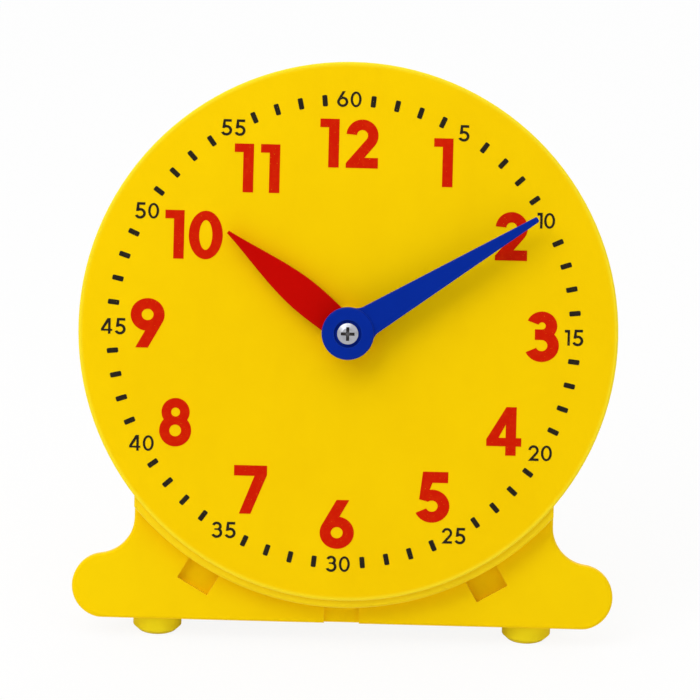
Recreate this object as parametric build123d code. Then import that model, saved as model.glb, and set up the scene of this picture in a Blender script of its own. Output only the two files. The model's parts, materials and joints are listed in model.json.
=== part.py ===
from build123d import *
import math
import os

# A geared teaching clock on a clip-on stand. Lengths are in millimetres, angles in degrees.
# The clock is drawn in the dial's own frame: the origin is the middle of the dial's face, +Y is
# twelve o'clock and +Z points out of the dial. The last step leans it back on its stand.

# Dial and drum
DIAL_RADIUS = 50.0
DIAL_THICKNESS = 2.2
RIM_DEPTH = 4.2
RIM_THICKNESS = 2.2
RIM_LIP_DEPTH = 0.9
RIM_LIP_PROUD = 0.6
RIM_ROUND = 0.4
DIAL_OVERHANG = 4.0
DRUM_WALL = 2.0

# Rear cover and its screws
COVER_THICKNESS = 2.0
COVER_CHAMFER = 0.8
LIP_HEIGHT = 1.4
LIP_WALL = 1.3
LIP_CLEARANCE = 0.15
SCREW_COUNT = 4
SCREW_FIRST_ANGLE = 45.0
SCREW_INSET = 5.5
SCREW_BOSS_RADIUS = 2.8
SCREW_RADIUS = 0.9
SCREW_LENGTH = 6.0
SCREW_CLEARANCE = 0.3
SCREW_HEAD_RADIUS = 1.9
SCREW_HEAD_HEIGHT = 0.8
SCREW_SINK = 1.0
SCREW_SINK_CLEARANCE = 0.4

# Gear train: minute pinion to idler wheel, idler pinion to hour wheel
GEAR_MODULE = 0.6
PRESSURE_ANGLE = 25.0
TOOTH_THINNING = 0.06
DEDENDUM_SHARE = 1.25
MINUTE_PINION_TEETH = 15
IDLER_WHEEL_TEETH = 45
IDLER_PINION_TEETH = 12
HOUR_WHEEL_TEETH = 48
IDLER_DIRECTION = 90.0
WHEEL_WIDTH = 2.6
LAYER_GAP = 0.6
PINION_OVERLAP = 0.2
AXIAL_PLAY = 0.1
RUNNING_CLEARANCE = 0.05

# Shafts, bushes and washers
ARBOR_RADIUS = 2.0
JOURNAL_RADIUS = 1.5
JOURNAL_SINK = 0.5
JOURNAL_END_GAP = 0.2
KEY_RADIUS = 1.8
KEY_HALF_WIDTH = 1.4
KEY_END_GAP = 0.2
PIPE_WALL = 1.25
PIPE_REACH = 3.0
BUSH_WALL = 1.2
BUSH_REACH = 0.6
BUSH_FLANGE_RADIUS = 6.0
BUSH_FLANGE_THICKNESS = 0.6
ARBOR_BOSS_RADIUS = 4.0
ARBOR_BOSS_HEIGHT = 2.4
IDLER_PIN_RADIUS = 1.0
IDLER_PIN_SINK = 1.0
IDLER_PIN_PROUD = 0.1
IDLER_BOSS_RADIUS = 3.0
RETAINER_RADIUS = 2.4
RETAINER_THICKNESS = 0.4
FRICTION_WASHER_HEIGHT = 0.7
FRICTION_WASHER_THICKNESS = 0.25
FRICTION_WASHER_RADIUS = 3.6
FRICTION_WASHER_CLEARANCE = 0.3
SPACER_THICKNESS = 0.4
SPACER_RADIUS = 3.4

# Hands, at about ten past ten
MINUTE_HAND_ANGLE = 57.5
MINUTE_HAND_LENGTH = 41.0
MINUTE_HUB_RADIUS = 4.85
MINUTE_HUB_HEIGHT = 2.4
MINUTE_BLADE_HEIGHT = 1.8
MINUTE_BLADE_ROOT = 6.1
MINUTE_BLADE_TIP = 1.0
BLADE_FLARE = 2.5
HUB_RECESS_RADIUS = 2.6
HUB_RECESS_DEPTH = 0.7
HAND_ROUND = 0.35
HOUR_HAND_ANGLE = 308.6
HOUR_HAND_LENGTH = 29.0
HOUR_HUB_RADIUS = 4.7
HOUR_HUB_HEIGHT = 1.8
HOUR_BLADE_HEIGHT = 1.4
HOUR_BLADE_WIDTH = 6.1
HOUR_BLADE_REACH_SHARES = (0.0, 0.17, 0.36, 0.52, 0.69, 0.86, 1.0)
HOUR_BLADE_WIDTH_SHARES = (0.85, 0.94, 1.0, 0.88, 0.62, 0.31, 0.09)
HAND_SCREW_RADIUS = 0.8
HAND_SCREW_LENGTH = 5.5
HAND_SCREW_HEAD_RADIUS = 1.95
HAND_SCREW_HEAD_HEIGHT = 1.2
SCREW_CROWN_SHARE = 0.55
CROSS_WIDTH_SHARE = 0.3
CROSS_SPAN_SHARE = 1.3
CROSS_DEPTH_SHARE = 0.55

# Stand
LEAN_ANGLE = 17.0
PLATE_OVERHANG = 0.3
PLATE_BELOW_DIAL = 4.6
PLATE_THICKNESS = 3.0
PLATE_ROUND = 0.6
LOBE_RADIUS = 6.0
NECK_INSET = 11.4
NECK_RADIUS = 7.0
HORN_RISE = 6.6
CRADLE_CLEARANCE = 0.3
LEDGE_CLEARANCE = 0.3
LEDGE_BEYOND_DIAL = 1.4
LEDGE_ROUND = 0.6
CLIP_ANGLES = (-30.0, 0.0, 30.0)
POCKET_WIDTH = 6.5
POCKET_BEYOND_DIAL = 5.8
SIDE_POCKET_DEPTH = 1.8
MIDDLE_POCKET_DEPTH = 0.8
LUG_WIDTH = 6.0
LUG_HEIGHT = 2.0
LUG_DEPTH = 2.0
LUG_CLEARANCE = 0.3
BASE_THICKNESS = 2.6
BASE_DEPTH = 42.0
BASE_SIDE_INSET = 6.3
BASE_TAPER = 9.0
BASE_CORNER_RADIUS = 8.0
GUSSET_THICKNESS = 2.4
GUSSET_INSET = 5.5
GUSSET_BELOW_CRADLE = 3.0
GUSSET_BACK_INSET = 6.0
FOOT_RADIUS = 4.5
FOOT_HEIGHT = 3.8
FOOT_CHAMFER = 0.9
FOOT_SIDE_INSET = 15.9
FOOT_INSET = 1.0
FOOT_STEM_RADIUS = 1.6
FOOT_STEM_LENGTH = 1.7
FOOT_STEM_GAP = 0.2

FULL_TURN = 360.0
RIGHT_ANGLE = 90.0
CUT_OVERRUN = 1.0

# Levels along the dial's axis and radii that follow from the sizes above
RIM_RADIUS = DIAL_RADIUS - RIM_LIP_PROUD
DRUM_RADIUS = DIAL_RADIUS - DIAL_OVERHANG
DRUM_INNER_RADIUS = DRUM_RADIUS - DRUM_WALL
PIPE_INNER_RADIUS = ARBOR_RADIUS + RUNNING_CLEARANCE
PIPE_RADIUS = ARBOR_RADIUS + PIPE_WALL
BUSH_INNER_RADIUS = PIPE_RADIUS + RUNNING_CLEARANCE
BUSH_RADIUS = BUSH_INNER_RADIUS + BUSH_WALL
BUSH_BACK = -DIAL_THICKNESS - BUSH_FLANGE_THICKNESS
HOUR_WHEEL_FRONT = BUSH_BACK - AXIAL_PLAY
HOUR_WHEEL_BACK = HOUR_WHEEL_FRONT - WHEEL_WIDTH
IDLER_WHEEL_FRONT = HOUR_WHEEL_BACK - LAYER_GAP
IDLER_WHEEL_BACK = IDLER_WHEEL_FRONT - WHEEL_WIDTH
PINION_FRONT = IDLER_WHEEL_FRONT + PINION_OVERLAP
PINION_BACK = IDLER_WHEEL_BACK - PINION_OVERLAP
ARBOR_BOSS_TOP = PINION_BACK - FRICTION_WASHER_HEIGHT
IDLER_BOSS_TOP = IDLER_WHEEL_BACK - AXIAL_PLAY
COVER_FRONT = ARBOR_BOSS_TOP - ARBOR_BOSS_HEIGHT
COVER_BACK = COVER_FRONT - COVER_THICKNESS
JOURNAL_END = COVER_FRONT - JOURNAL_SINK
IDLER_PIN_BACK = COVER_FRONT - IDLER_PIN_SINK
RETAINER_FRONT = HOUR_WHEEL_FRONT + RETAINER_THICKNESS
IDLER_DISTANCE = GEAR_MODULE * (MINUTE_PINION_TEETH + IDLER_WHEEL_TEETH) / 2
SCREW_CIRCLE_RADIUS = DRUM_INNER_RADIUS - SCREW_INSET
SCREW_SEAT = COVER_BACK + SCREW_SINK
MINUTE_HAND_BACK = PIPE_REACH + SPACER_THICKNESS
MINUTE_HUB_FRONT = MINUTE_HAND_BACK + MINUTE_HUB_HEIGHT
HAND_SCREW_SEAT = MINUTE_HUB_FRONT - HUB_RECESS_DEPTH
PLATE_BACK = -RIM_DEPTH - PLATE_THICKNESS
PLATE_HALF_WIDTH = DIAL_RADIUS + PLATE_OVERHANG
PLATE_DROP = DIAL_RADIUS + PLATE_BELOW_DIAL
NECK_HALF_WIDTH = PLATE_HALF_WIDTH - NECK_INSET
CRADLE_RADIUS = DRUM_RADIUS + CRADLE_CLEARANCE
LEDGE_INNER_RADIUS = RIM_RADIUS + LEDGE_CLEARANCE
LEDGE_RADIUS = DIAL_RADIUS + LEDGE_BEYOND_DIAL
POCKET_REACH = DIAL_RADIUS + POCKET_BEYOND_DIAL
LUG_FRONT = PLATE_BACK - LUG_CLEARANCE
BASE_HALF_WIDTH = PLATE_HALF_WIDTH - BASE_SIDE_INSET
BASE_BACK_HALF_WIDTH = BASE_HALF_WIDTH - BASE_TAPER
GUSSET_MIDDLE = NECK_HALF_WIDTH - GUSSET_INSET

# Places that follow from the lean
LEAN_SINE = math.sin(math.radians(LEAN_ANGLE))
LEAN_COSINE = math.cos(math.radians(LEAN_ANGLE))
DIAL_HEIGHT = FOOT_HEIGHT + PLATE_DROP * LEAN_COSINE + RIM_DEPTH * LEAN_SINE
BASE_FRONT = RIM_DEPTH * LEAN_COSINE - PLATE_DROP * LEAN_SINE
BASE_BACK = BASE_FRONT + BASE_DEPTH
LEAN = Location((0, 0, DIAL_HEIGHT), (RIGHT_ANGLE - LEAN_ANGLE, 0, 0))


def disc(radius, front, back):
    """A solid disc on the dial's axis between two levels."""
    align = (Align.CENTER, Align.CENTER, Align.MIN)
    return Pos(0, 0, back) * Cylinder(radius, front - back, align=align)


def ring(outer, inner, front, back):
    """A disc with a hole through it."""
    return disc(outer, front, back) - disc(inner, front + CUT_OVERRUN, back - CUT_OVERRUN)


def turned(points):
    """A solid turned about the dial's axis from (radius, level) points."""
    outline = Polyline(*points, close=True)
    profile = Plane.XZ * make_face(outline)
    return revolve(profile, Axis.Z)


def around(count, radius, first_angle):
    """Places evenly spread on a circle about the dial's axis."""
    step = FULL_TURN / count
    return [Rot(0, 0, first_angle + step * i) * Pos(radius, 0, 0) for i in range(count)]


def at_idler(solid):
    """Moves a piece from the dial's axis to the idler's axis."""
    return Rot(0, 0, IDLER_DIRECTION) * Pos(IDLER_DISTANCE, 0, 0) * solid


def polar(radius, angle):
    """A flat point from a radius and an angle in radians."""
    return (radius * math.cos(angle), radius * math.sin(angle))


def involute(angle):
    """The involute function of an angle in radians."""
    return math.tan(angle) - angle


def gear_face(teeth, first_angle):
    """The outline of a spur gear with its first tooth centred on an angle in degrees."""
    pitch_radius = GEAR_MODULE * teeth / 2
    base_radius = pitch_radius * math.cos(math.radians(PRESSURE_ANGLE))
    tip_radius = pitch_radius + GEAR_MODULE
    root_radius = pitch_radius - DEDENDUM_SHARE * GEAR_MODULE
    start_radius = max(base_radius, root_radius)
    middle_radius = (start_radius + tip_radius) / 2
    pitch_half = (math.pi * GEAR_MODULE / 2 - TOOTH_THINNING) / (2 * pitch_radius)
    base_half = pitch_half + involute(math.radians(PRESSURE_ANGLE))

    def half_angle(radius):
        return base_half - involute(math.acos(base_radius / radius))

    edges = []
    step = 2 * math.pi / teeth
    for i in range(teeth):
        centre = math.radians(first_angle) + step * i
        sides = []
        for side in (-1, 1):
            root = polar(root_radius, centre + side * half_angle(start_radius))
            start = polar(start_radius, centre + side * half_angle(start_radius))
            middle = polar(middle_radius, centre + side * half_angle(middle_radius))
            tip = polar(tip_radius, centre + side * half_angle(tip_radius))
            sides.append((root, start, middle, tip))
        lead, trail = sides
        if base_radius > root_radius:
            edges.append(Line(lead[0], lead[1]))
        edges.append(ThreePointArc(lead[1], lead[2], lead[3]))
        edges.append(Line(lead[3], trail[3]))
        edges.append(ThreePointArc(trail[3], trail[2], trail[1]))
        if base_radius > root_radius:
            edges.append(Line(trail[1], trail[0]))
        next_root = polar(root_radius, centre + step - half_angle(start_radius))
        edges.append(Line(trail[0], next_root))
    return make_face(edges)


def gear(teeth, first_angle, front, back):
    """A spur gear between two levels on the dial's axis."""
    return Pos(0, 0, back) * extrude(gear_face(teeth, first_angle), amount=front - back)


def cross_cut(head_radius, head_height, top):
    """The cross recess of a screw head whose top is at a level."""
    width = CROSS_WIDTH_SHARE * head_radius
    span = CROSS_SPAN_SHARE * head_radius
    depth = CROSS_DEPTH_SHARE * head_height
    align = (Align.CENTER, Align.CENTER, Align.MIN)
    bar = Pos(0, 0, top - depth) * Box(span, width, depth + CUT_OVERRUN, align=align)
    return bar + Rot(0, 0, RIGHT_ANGLE) * bar


def pan_screw(radius, length, head_radius, head_height):
    """A pan-head screw that points down, with the underside of its head at level zero."""
    crown = SCREW_CROWN_SHARE * head_radius
    shoulder = SCREW_CROWN_SHARE * head_height
    points = [
        (0, -length),
        (radius, -length),
        (radius, 0),
        (head_radius, 0),
        (head_radius, shoulder),
        (crown, head_height),
        (0, head_height),
    ]
    return turned(points) - cross_cut(head_radius, head_height, head_height)


def key_bar(front, back):
    """The flatted end of the arbor, which turns the minute hand."""
    align = (Align.CENTER, Align.CENTER, Align.MIN)
    flats = Pos(0, 0, back) * Box(2 * KEY_RADIUS, 2 * KEY_HALF_WIDTH, front - back, align=align)
    return disc(KEY_RADIUS, front, back) & flats


def clip_box(width, inner, outer, front, back):
    """A block under the dial's axis, at six o'clock, between two radii and two levels."""
    align = (Align.CENTER, Align.MAX, Align.MIN)
    return Pos(0, -inner, back) * Box(width, outer - inner, front - back, align=align)


def dial_shell():
    """The dial with its lip and turned-back rim, the drum behind it, screw bosses and clip lugs."""
    lip = disc(DIAL_RADIUS, 0, -RIM_LIP_DEPTH)
    front_edge = lip.edges().filter_by(GeomType.CIRCLE).sort_by(Axis.Z)[-1]
    shell = fillet(front_edge, RIM_ROUND)
    shell += disc(RIM_RADIUS, -RIM_LIP_DEPTH, -RIM_DEPTH)
    hollow_front = -DIAL_THICKNESS
    shell -= disc(DIAL_RADIUS - RIM_THICKNESS, hollow_front, -RIM_DEPTH - CUT_OVERRUN)
    shell += ring(DRUM_RADIUS, DRUM_INNER_RADIUS, hollow_front, COVER_FRONT)
    for place in around(SCREW_COUNT, SCREW_CIRCLE_RADIUS, SCREW_FIRST_ANGLE):
        shell += place * disc(SCREW_BOSS_RADIUS, hollow_front, COVER_FRONT)
        shell -= place * disc(SCREW_RADIUS, SCREW_SEAT + SCREW_LENGTH, COVER_FRONT - CUT_OVERRUN)
    lug_inner = DRUM_RADIUS - DRUM_WALL / 2
    lug = clip_box(LUG_WIDTH, lug_inner, DRUM_RADIUS + LUG_HEIGHT, LUG_FRONT, LUG_FRONT - LUG_DEPTH)
    for angle in CLIP_ANGLES:
        shell += Rot(0, 0, angle) * lug
    return shell - disc(BUSH_RADIUS, CUT_OVERRUN, -RIM_DEPTH)


def dial_bush():
    """The flanged bush in the dial that the hour pipe turns in."""
    bush = disc(BUSH_RADIUS, BUSH_REACH, BUSH_BACK)
    bush += disc(BUSH_FLANGE_RADIUS, -DIAL_THICKNESS, BUSH_BACK)
    return bush - disc(BUSH_INNER_RADIUS, BUSH_REACH + CUT_OVERRUN, BUSH_BACK - CUT_OVERRUN)


def rear_cover():
    """The disc that closes the drum, with the bosses for the arbor and the idler pin."""
    cover = disc(DRUM_RADIUS, COVER_FRONT, COVER_BACK)
    back_edge = cover.edges().filter_by(GeomType.CIRCLE).sort_by(Axis.Z)[0]
    cover = chamfer(back_edge, COVER_CHAMFER)
    lip_radius = DRUM_INNER_RADIUS - LIP_CLEARANCE
    cover += ring(lip_radius, lip_radius - LIP_WALL, COVER_FRONT + LIP_HEIGHT, COVER_FRONT)
    cover += disc(ARBOR_BOSS_RADIUS, ARBOR_BOSS_TOP, COVER_FRONT)
    cover += at_idler(disc(IDLER_BOSS_RADIUS, IDLER_BOSS_TOP, COVER_FRONT))
    journal_bore = JOURNAL_RADIUS + RUNNING_CLEARANCE
    cover -= disc(journal_bore, ARBOR_BOSS_TOP + CUT_OVERRUN, JOURNAL_END - JOURNAL_END_GAP)
    cover -= at_idler(disc(IDLER_PIN_RADIUS, IDLER_BOSS_TOP + CUT_OVERRUN, IDLER_PIN_BACK))
    for place in around(SCREW_COUNT, SCREW_CIRCLE_RADIUS, SCREW_FIRST_ANGLE):
        cover -= place * disc(SCREW_RADIUS + SCREW_CLEARANCE, COVER_FRONT + CUT_OVERRUN, COVER_BACK)
        sink_radius = SCREW_HEAD_RADIUS + SCREW_SINK_CLEARANCE
        cover -= place * disc(sink_radius, SCREW_SEAT, COVER_BACK - CUT_OVERRUN)
    return cover


def cover_screws():
    """The screws of the rear cover, as a group of separate solids."""
    screw = pan_screw(SCREW_RADIUS, SCREW_LENGTH, SCREW_HEAD_RADIUS, SCREW_HEAD_HEIGHT)
    screw = Pos(0, 0, SCREW_SEAT) * Rot(2 * RIGHT_ANGLE, 0, 0) * screw
    places = around(SCREW_COUNT, SCREW_CIRCLE_RADIUS, SCREW_FIRST_ANGLE)
    return Compound(children=[place * screw for place in places])


def hour_wheel():
    """The hour wheel and the pipe that carries the hour hand."""
    half_pitch = FULL_TURN / HOUR_WHEEL_TEETH / 2
    wheel = gear(HOUR_WHEEL_TEETH, IDLER_DIRECTION + half_pitch, HOUR_WHEEL_FRONT, HOUR_WHEEL_BACK)
    wheel += disc(PIPE_RADIUS, PIPE_REACH, HOUR_WHEEL_BACK)
    return wheel - disc(PIPE_INNER_RADIUS, PIPE_REACH + CUT_OVERRUN, HOUR_WHEEL_BACK - CUT_OVERRUN)


def minute_pinion():
    """The pinion pressed on the minute arbor, with a tooth towards the idler."""
    pinion = gear(MINUTE_PINION_TEETH, IDLER_DIRECTION, PINION_FRONT, PINION_BACK)
    return pinion - disc(ARBOR_RADIUS, PINION_FRONT + CUT_OVERRUN, PINION_BACK - CUT_OVERRUN)


def minute_arbor():
    """The shaft of the minute hand: back journal, plain length and flatted front end."""
    arbor = disc(ARBOR_RADIUS, MINUTE_HAND_BACK, PINION_BACK)
    arbor += disc(JOURNAL_RADIUS, PINION_BACK, JOURNAL_END)
    arbor += key_bar(HAND_SCREW_SEAT - KEY_END_GAP, MINUTE_HAND_BACK)
    arbor -= disc(HAND_SCREW_RADIUS, HAND_SCREW_SEAT, HAND_SCREW_SEAT - HAND_SCREW_LENGTH)
    return Rot(0, 0, -MINUTE_HAND_ANGLE) * arbor


def idler_gear():
    """The idler wheel and its pinion, moulded as one piece."""
    wheel_half_pitch = FULL_TURN / IDLER_WHEEL_TEETH / 2
    toward_dial = 2 * RIGHT_ANGLE
    idler = gear(IDLER_WHEEL_TEETH, toward_dial + wheel_half_pitch, IDLER_WHEEL_FRONT, IDLER_WHEEL_BACK)
    idler += gear(IDLER_PINION_TEETH, toward_dial, HOUR_WHEEL_FRONT, IDLER_WHEEL_FRONT)
    bore = IDLER_PIN_RADIUS + RUNNING_CLEARANCE
    idler -= disc(bore, HOUR_WHEEL_FRONT + CUT_OVERRUN, IDLER_WHEEL_BACK - CUT_OVERRUN)
    return at_idler(idler)


def idler_pin():
    """The fixed pin of the idler, pressed into the rear cover."""
    return at_idler(disc(IDLER_PIN_RADIUS, RETAINER_FRONT + IDLER_PIN_PROUD, IDLER_PIN_BACK))


def idler_retainer():
    """The push-on washer that keeps the idler on its pin."""
    return at_idler(ring(RETAINER_RADIUS, IDLER_PIN_RADIUS, RETAINER_FRONT, HOUR_WHEEL_FRONT))


def friction_washer():
    """The cone washer between the rear cover's boss and the minute pinion."""
    inner = JOURNAL_RADIUS + FRICTION_WASHER_CLEARANCE
    points = [
        (inner, PINION_BACK),
        (inner, PINION_BACK - FRICTION_WASHER_THICKNESS),
        (FRICTION_WASHER_RADIUS, ARBOR_BOSS_TOP),
        (FRICTION_WASHER_RADIUS, ARBOR_BOSS_TOP + FRICTION_WASHER_THICKNESS),
    ]
    return turned(points)


def hand_spacer():
    """The thin washer between the hour pipe and the minute hand."""
    return ring(SPACER_RADIUS, ARBOR_RADIUS, MINUTE_HAND_BACK, PIPE_REACH)


def hour_hand():
    """The leaf-shaped hour hand, pressed on the hour pipe."""
    hub_back = PIPE_REACH - HOUR_HUB_HEIGHT
    reach = [share * HOUR_HAND_LENGTH for share in HOUR_BLADE_REACH_SHARES]
    half = [share * HOUR_BLADE_WIDTH / 2 for share in HOUR_BLADE_WIDTH_SHARES]
    right = Spline(*zip(half, reach))
    left = Spline(*zip([-width for width in half], reach))
    blade_face = make_face([right, left, Line(right @ 0, left @ 0), Line(right @ 1, left @ 1)])
    blade = Pos(0, 0, hub_back) * extrude(blade_face, amount=HOUR_BLADE_HEIGHT)
    long_edges = blade.faces().sort_by(Axis.Z)[-1].edges().filter_by(GeomType.BSPLINE)
    blade = fillet(long_edges, HAND_ROUND / 2)
    hand = blade + disc(HOUR_HUB_RADIUS, PIPE_REACH, hub_back)
    hand -= disc(PIPE_RADIUS, PIPE_REACH + CUT_OVERRUN, hub_back - CUT_OVERRUN)
    return Rot(0, 0, -HOUR_HAND_ANGLE) * hand


def minute_hand():
    """The tapered minute hand with its hub, keyed to the arbor."""
    root = MINUTE_BLADE_ROOT / 2
    tip = MINUTE_BLADE_TIP / 2
    end = MINUTE_HAND_LENGTH
    outline = make_face(Polyline((-root, 0), (root, 0), (tip, end), (-tip, end), close=True))
    outline += Circle(MINUTE_HUB_RADIUS)
    outline = fillet(outline.vertices().group_by(Axis.Y)[-2], BLADE_FLARE)
    outline = fillet(outline.vertices().group_by(Axis.Y)[-1], HAND_ROUND)
    blade = Pos(0, 0, MINUTE_HAND_BACK) * extrude(outline, amount=MINUTE_BLADE_HEIGHT)
    blade = fillet(blade.faces().sort_by(Axis.Z)[-1].edges(), HAND_ROUND / 2)
    hub = disc(MINUTE_HUB_RADIUS, MINUTE_HUB_FRONT, MINUTE_HAND_BACK)
    hub_edge = hub.edges().filter_by(GeomType.CIRCLE).sort_by(Axis.Z)[-1]
    hand = blade + fillet(hub_edge, HAND_ROUND)
    hand -= disc(HUB_RECESS_RADIUS, MINUTE_HUB_FRONT + CUT_OVERRUN, HAND_SCREW_SEAT)
    hand -= key_bar(HAND_SCREW_SEAT + CUT_OVERRUN, MINUTE_HAND_BACK - CUT_OVERRUN)
    return Rot(0, 0, -MINUTE_HAND_ANGLE) * hand


def hand_screw():
    """The screw that holds the minute hand on the arbor."""
    screw = pan_screw(HAND_SCREW_RADIUS, HAND_SCREW_LENGTH, HAND_SCREW_HEAD_RADIUS, HAND_SCREW_HEAD_HEIGHT)
    return Pos(0, 0, HAND_SCREW_SEAT) * screw


def plate_face():
    """The outline of the stand's plate: a bar with round lobes, necked in to two horns."""
    lobe_x = PLATE_HALF_WIDTH - LOBE_RADIUS
    lobe_y = LOBE_RADIUS - PLATE_DROP
    neck_x = NECK_HALF_WIDTH + NECK_RADIUS
    both = LOBE_RADIUS + NECK_RADIUS
    rise = math.sqrt(both**2 - (neck_x - lobe_x) ** 2)
    neck_y = lobe_y + rise
    share = LOBE_RADIUS / both
    meet = (lobe_x + share * (neck_x - lobe_x), lobe_y + share * rise)
    swing = math.pi + math.atan2(rise, neck_x - lobe_x) / 2
    neck_middle = (neck_x + NECK_RADIUS * math.cos(swing), neck_y + NECK_RADIUS * math.sin(swing))
    edges = []
    for side in (-1, 1):
        edges.append(Line((0, -PLATE_DROP), (side * lobe_x, -PLATE_DROP)))
        lobe_end = (side * PLATE_HALF_WIDTH, lobe_y)
        edges.append(ThreePointArc((side * lobe_x, -PLATE_DROP), lobe_end, (side * meet[0], meet[1])))
        neck_end = (side * NECK_HALF_WIDTH, neck_y)
        neck_through = (side * neck_middle[0], neck_middle[1])
        edges.append(ThreePointArc((side * meet[0], meet[1]), neck_through, neck_end))
        horn_end = (side * NECK_HALF_WIDTH, neck_y + HORN_RISE)
        edges.append(Line(neck_end, horn_end))
        edges.append(Line(horn_end, (0, neck_y + HORN_RISE)))
    return make_face(edges)


def on_stand(across, level):
    """Where a point of the dial's frame, by its height and level, is when it leans: (back, up)."""
    back = across * LEAN_SINE - level * LEAN_COSINE
    up = DIAL_HEIGHT + across * LEAN_COSINE + level * LEAN_SINE
    return (back, up)


def foot_places():
    """The middles of the feet on the floor, by name."""
    front_x = PLATE_HALF_WIDTH - FOOT_SIDE_INSET
    front_y = BASE_FRONT + FOOT_INSET + FOOT_RADIUS
    rear_x = BASE_BACK_HALF_WIDTH - BASE_CORNER_RADIUS
    rear_y = BASE_BACK - BASE_CORNER_RADIUS
    return {
        "foot_front_left": (-front_x, front_y),
        "foot_front_right": (front_x, front_y),
        "foot_rear_left": (-rear_x, rear_y),
        "foot_rear_right": (rear_x, rear_y),
    }


def ledge():
    """The curved ledge that the lip of the dial lies on, as long as the plate is wide there."""
    band = ring(LEDGE_RADIUS, LEDGE_INNER_RADIUS, -RIM_LIP_DEPTH, PLATE_BACK)
    front_edges = band.edges().filter_by(GeomType.CIRCLE).group_by(Axis.Z)[-1]
    band = fillet(front_edges.sort_by(SortBy.RADIUS)[-1], LEDGE_ROUND)
    return band & Pos(0, 0, PLATE_BACK) * extrude(plate_face(), amount=-PLATE_BACK)


def cradle_plate():
    """The leaning plate, drawn upright: its cradle for the drum, pockets and ledge."""
    plate = Pos(0, 0, PLATE_BACK) * extrude(plate_face(), amount=PLATE_THICKNESS)
    plate = fillet(plate.faces().sort_by(Axis.Z)[-1].edges(), PLATE_ROUND)
    plate -= disc(CRADLE_RADIUS, CUT_OVERRUN - RIM_DEPTH, PLATE_BACK - CUT_OVERRUN)
    depths = (SIDE_POCKET_DEPTH, MIDDLE_POCKET_DEPTH, SIDE_POCKET_DEPTH)
    for angle, depth in zip(CLIP_ANGLES, depths):
        floor_level = -RIM_DEPTH - depth
        pocket = clip_box(POCKET_WIDTH, LEDGE_INNER_RADIUS, POCKET_REACH, 0, floor_level)
        plate -= Rot(0, 0, angle) * pocket
    return plate + ledge()


def stand():
    """The stand: leaning plate, tapered floor plate, gussets and foot holes."""
    body = LEAN * cradle_plate()

    base_start = BASE_FRONT + PLATE_THICKNESS / 2
    floor_corners = [
        (-BASE_HALF_WIDTH, base_start),
        (BASE_HALF_WIDTH, base_start),
        (BASE_BACK_HALF_WIDTH, BASE_BACK),
        (-BASE_BACK_HALF_WIDTH, BASE_BACK),
    ]
    floor = make_face(Polyline(*floor_corners, close=True))
    floor = fillet(floor.vertices().group_by(Axis.Y)[-1], BASE_CORNER_RADIUS)
    body += Pos(0, 0, FOOT_HEIGHT) * extrude(floor, amount=BASE_THICKNESS)

    plate_middle = -RIM_DEPTH - PLATE_THICKNESS / 2
    base_middle = FOOT_HEIGHT + BASE_THICKNESS / 2
    gusset_face = GUSSET_MIDDLE - GUSSET_THICKNESS / 2
    gusset_top = math.sqrt(CRADLE_RADIUS**2 - gusset_face**2) + GUSSET_BELOW_CRADLE
    corners = [
        on_stand(-gusset_top, plate_middle),
        (base_start, base_middle),
        (BASE_BACK - GUSSET_BACK_INSET, base_middle),
    ]
    web = Plane.YZ * make_face(Polyline(*corners, close=True))
    web = extrude(web, amount=GUSSET_THICKNESS / 2, both=True)
    for side in (-1, 1):
        body += Pos(side * GUSSET_MIDDLE, 0, 0) * web

    below = Box(4 * PLATE_HALF_WIDTH, 4 * BASE_DEPTH, 2 * FOOT_HEIGHT)
    body -= below
    for x, y in foot_places().values():
        body -= Pos(x, y, 0) * disc(FOOT_STEM_RADIUS, FOOT_HEIGHT + FOOT_STEM_LENGTH + FOOT_STEM_GAP, 0)
    return body


def foot():
    """A round press-in foot standing on the floor."""
    pad = disc(FOOT_RADIUS, FOOT_HEIGHT, 0)
    floor_edge = pad.edges().filter_by(GeomType.CIRCLE).sort_by(Axis.Z)[0]
    pad = chamfer(floor_edge, FOOT_CHAMFER)
    return pad + disc(FOOT_STEM_RADIUS, FOOT_HEIGHT + FOOT_STEM_LENGTH, FOOT_HEIGHT)


def clock_pieces():
    """Every piece of the clock, by node name, leaned back over the floor."""
    drawn = {
        "dial_shell": dial_shell(),
        "dial_bush": dial_bush(),
        "rear_cover": rear_cover(),
        "cover_screws": cover_screws(),
        "hour_wheel": hour_wheel(),
        "hour_hand": hour_hand(),
        "minute_pinion": minute_pinion(),
        "minute_arbor": minute_arbor(),
        "minute_hand": minute_hand(),
        "hand_screw": hand_screw(),
        "hand_spacer": hand_spacer(),
        "friction_washer": friction_washer(),
        "idler_gear": idler_gear(),
        "idler_pin": idler_pin(),
        "idler_retainer": idler_retainer(),
    }
    pieces = {name: LEAN * piece for name, piece in drawn.items()}
    pieces["stand"] = stand()
    for name, (x, y) in foot_places().items():
        pieces[name] = Pos(x, y, 0) * foot()
    return pieces


def main():
    """Builds every piece, sets the origin under the middle of the clock and writes the files."""
    pieces = clock_pieces()
    boxes = [piece.bounding_box() for piece in pieces.values()]
    front = min(box.min.Y for box in boxes)
    back = max(box.max.Y for box in boxes)
    centred = Pos(0, -(front + back) / 2, 0)
    os.makedirs("parts", exist_ok=True)
    for name, piece in pieces.items():
        export_step(centred * piece, f"parts/{name}.step")


main()
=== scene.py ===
"""Looks of a geared teaching clock that leans on its clip-on stand.

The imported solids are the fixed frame. This script gives each of them a finish, prints the dial and
sets up a plain pale studio. Lengths are in metres, angles in degrees.
"""

import json
import logging
import math
from abc import ABC, abstractmethod
from contextlib import contextmanager
from dataclasses import dataclass, field
from enum import Enum
from typing import Any, Callable, Iterable, Iterator, Mapping, Sequence, Union

import bpy
from mathutils import Matrix, Vector


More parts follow.
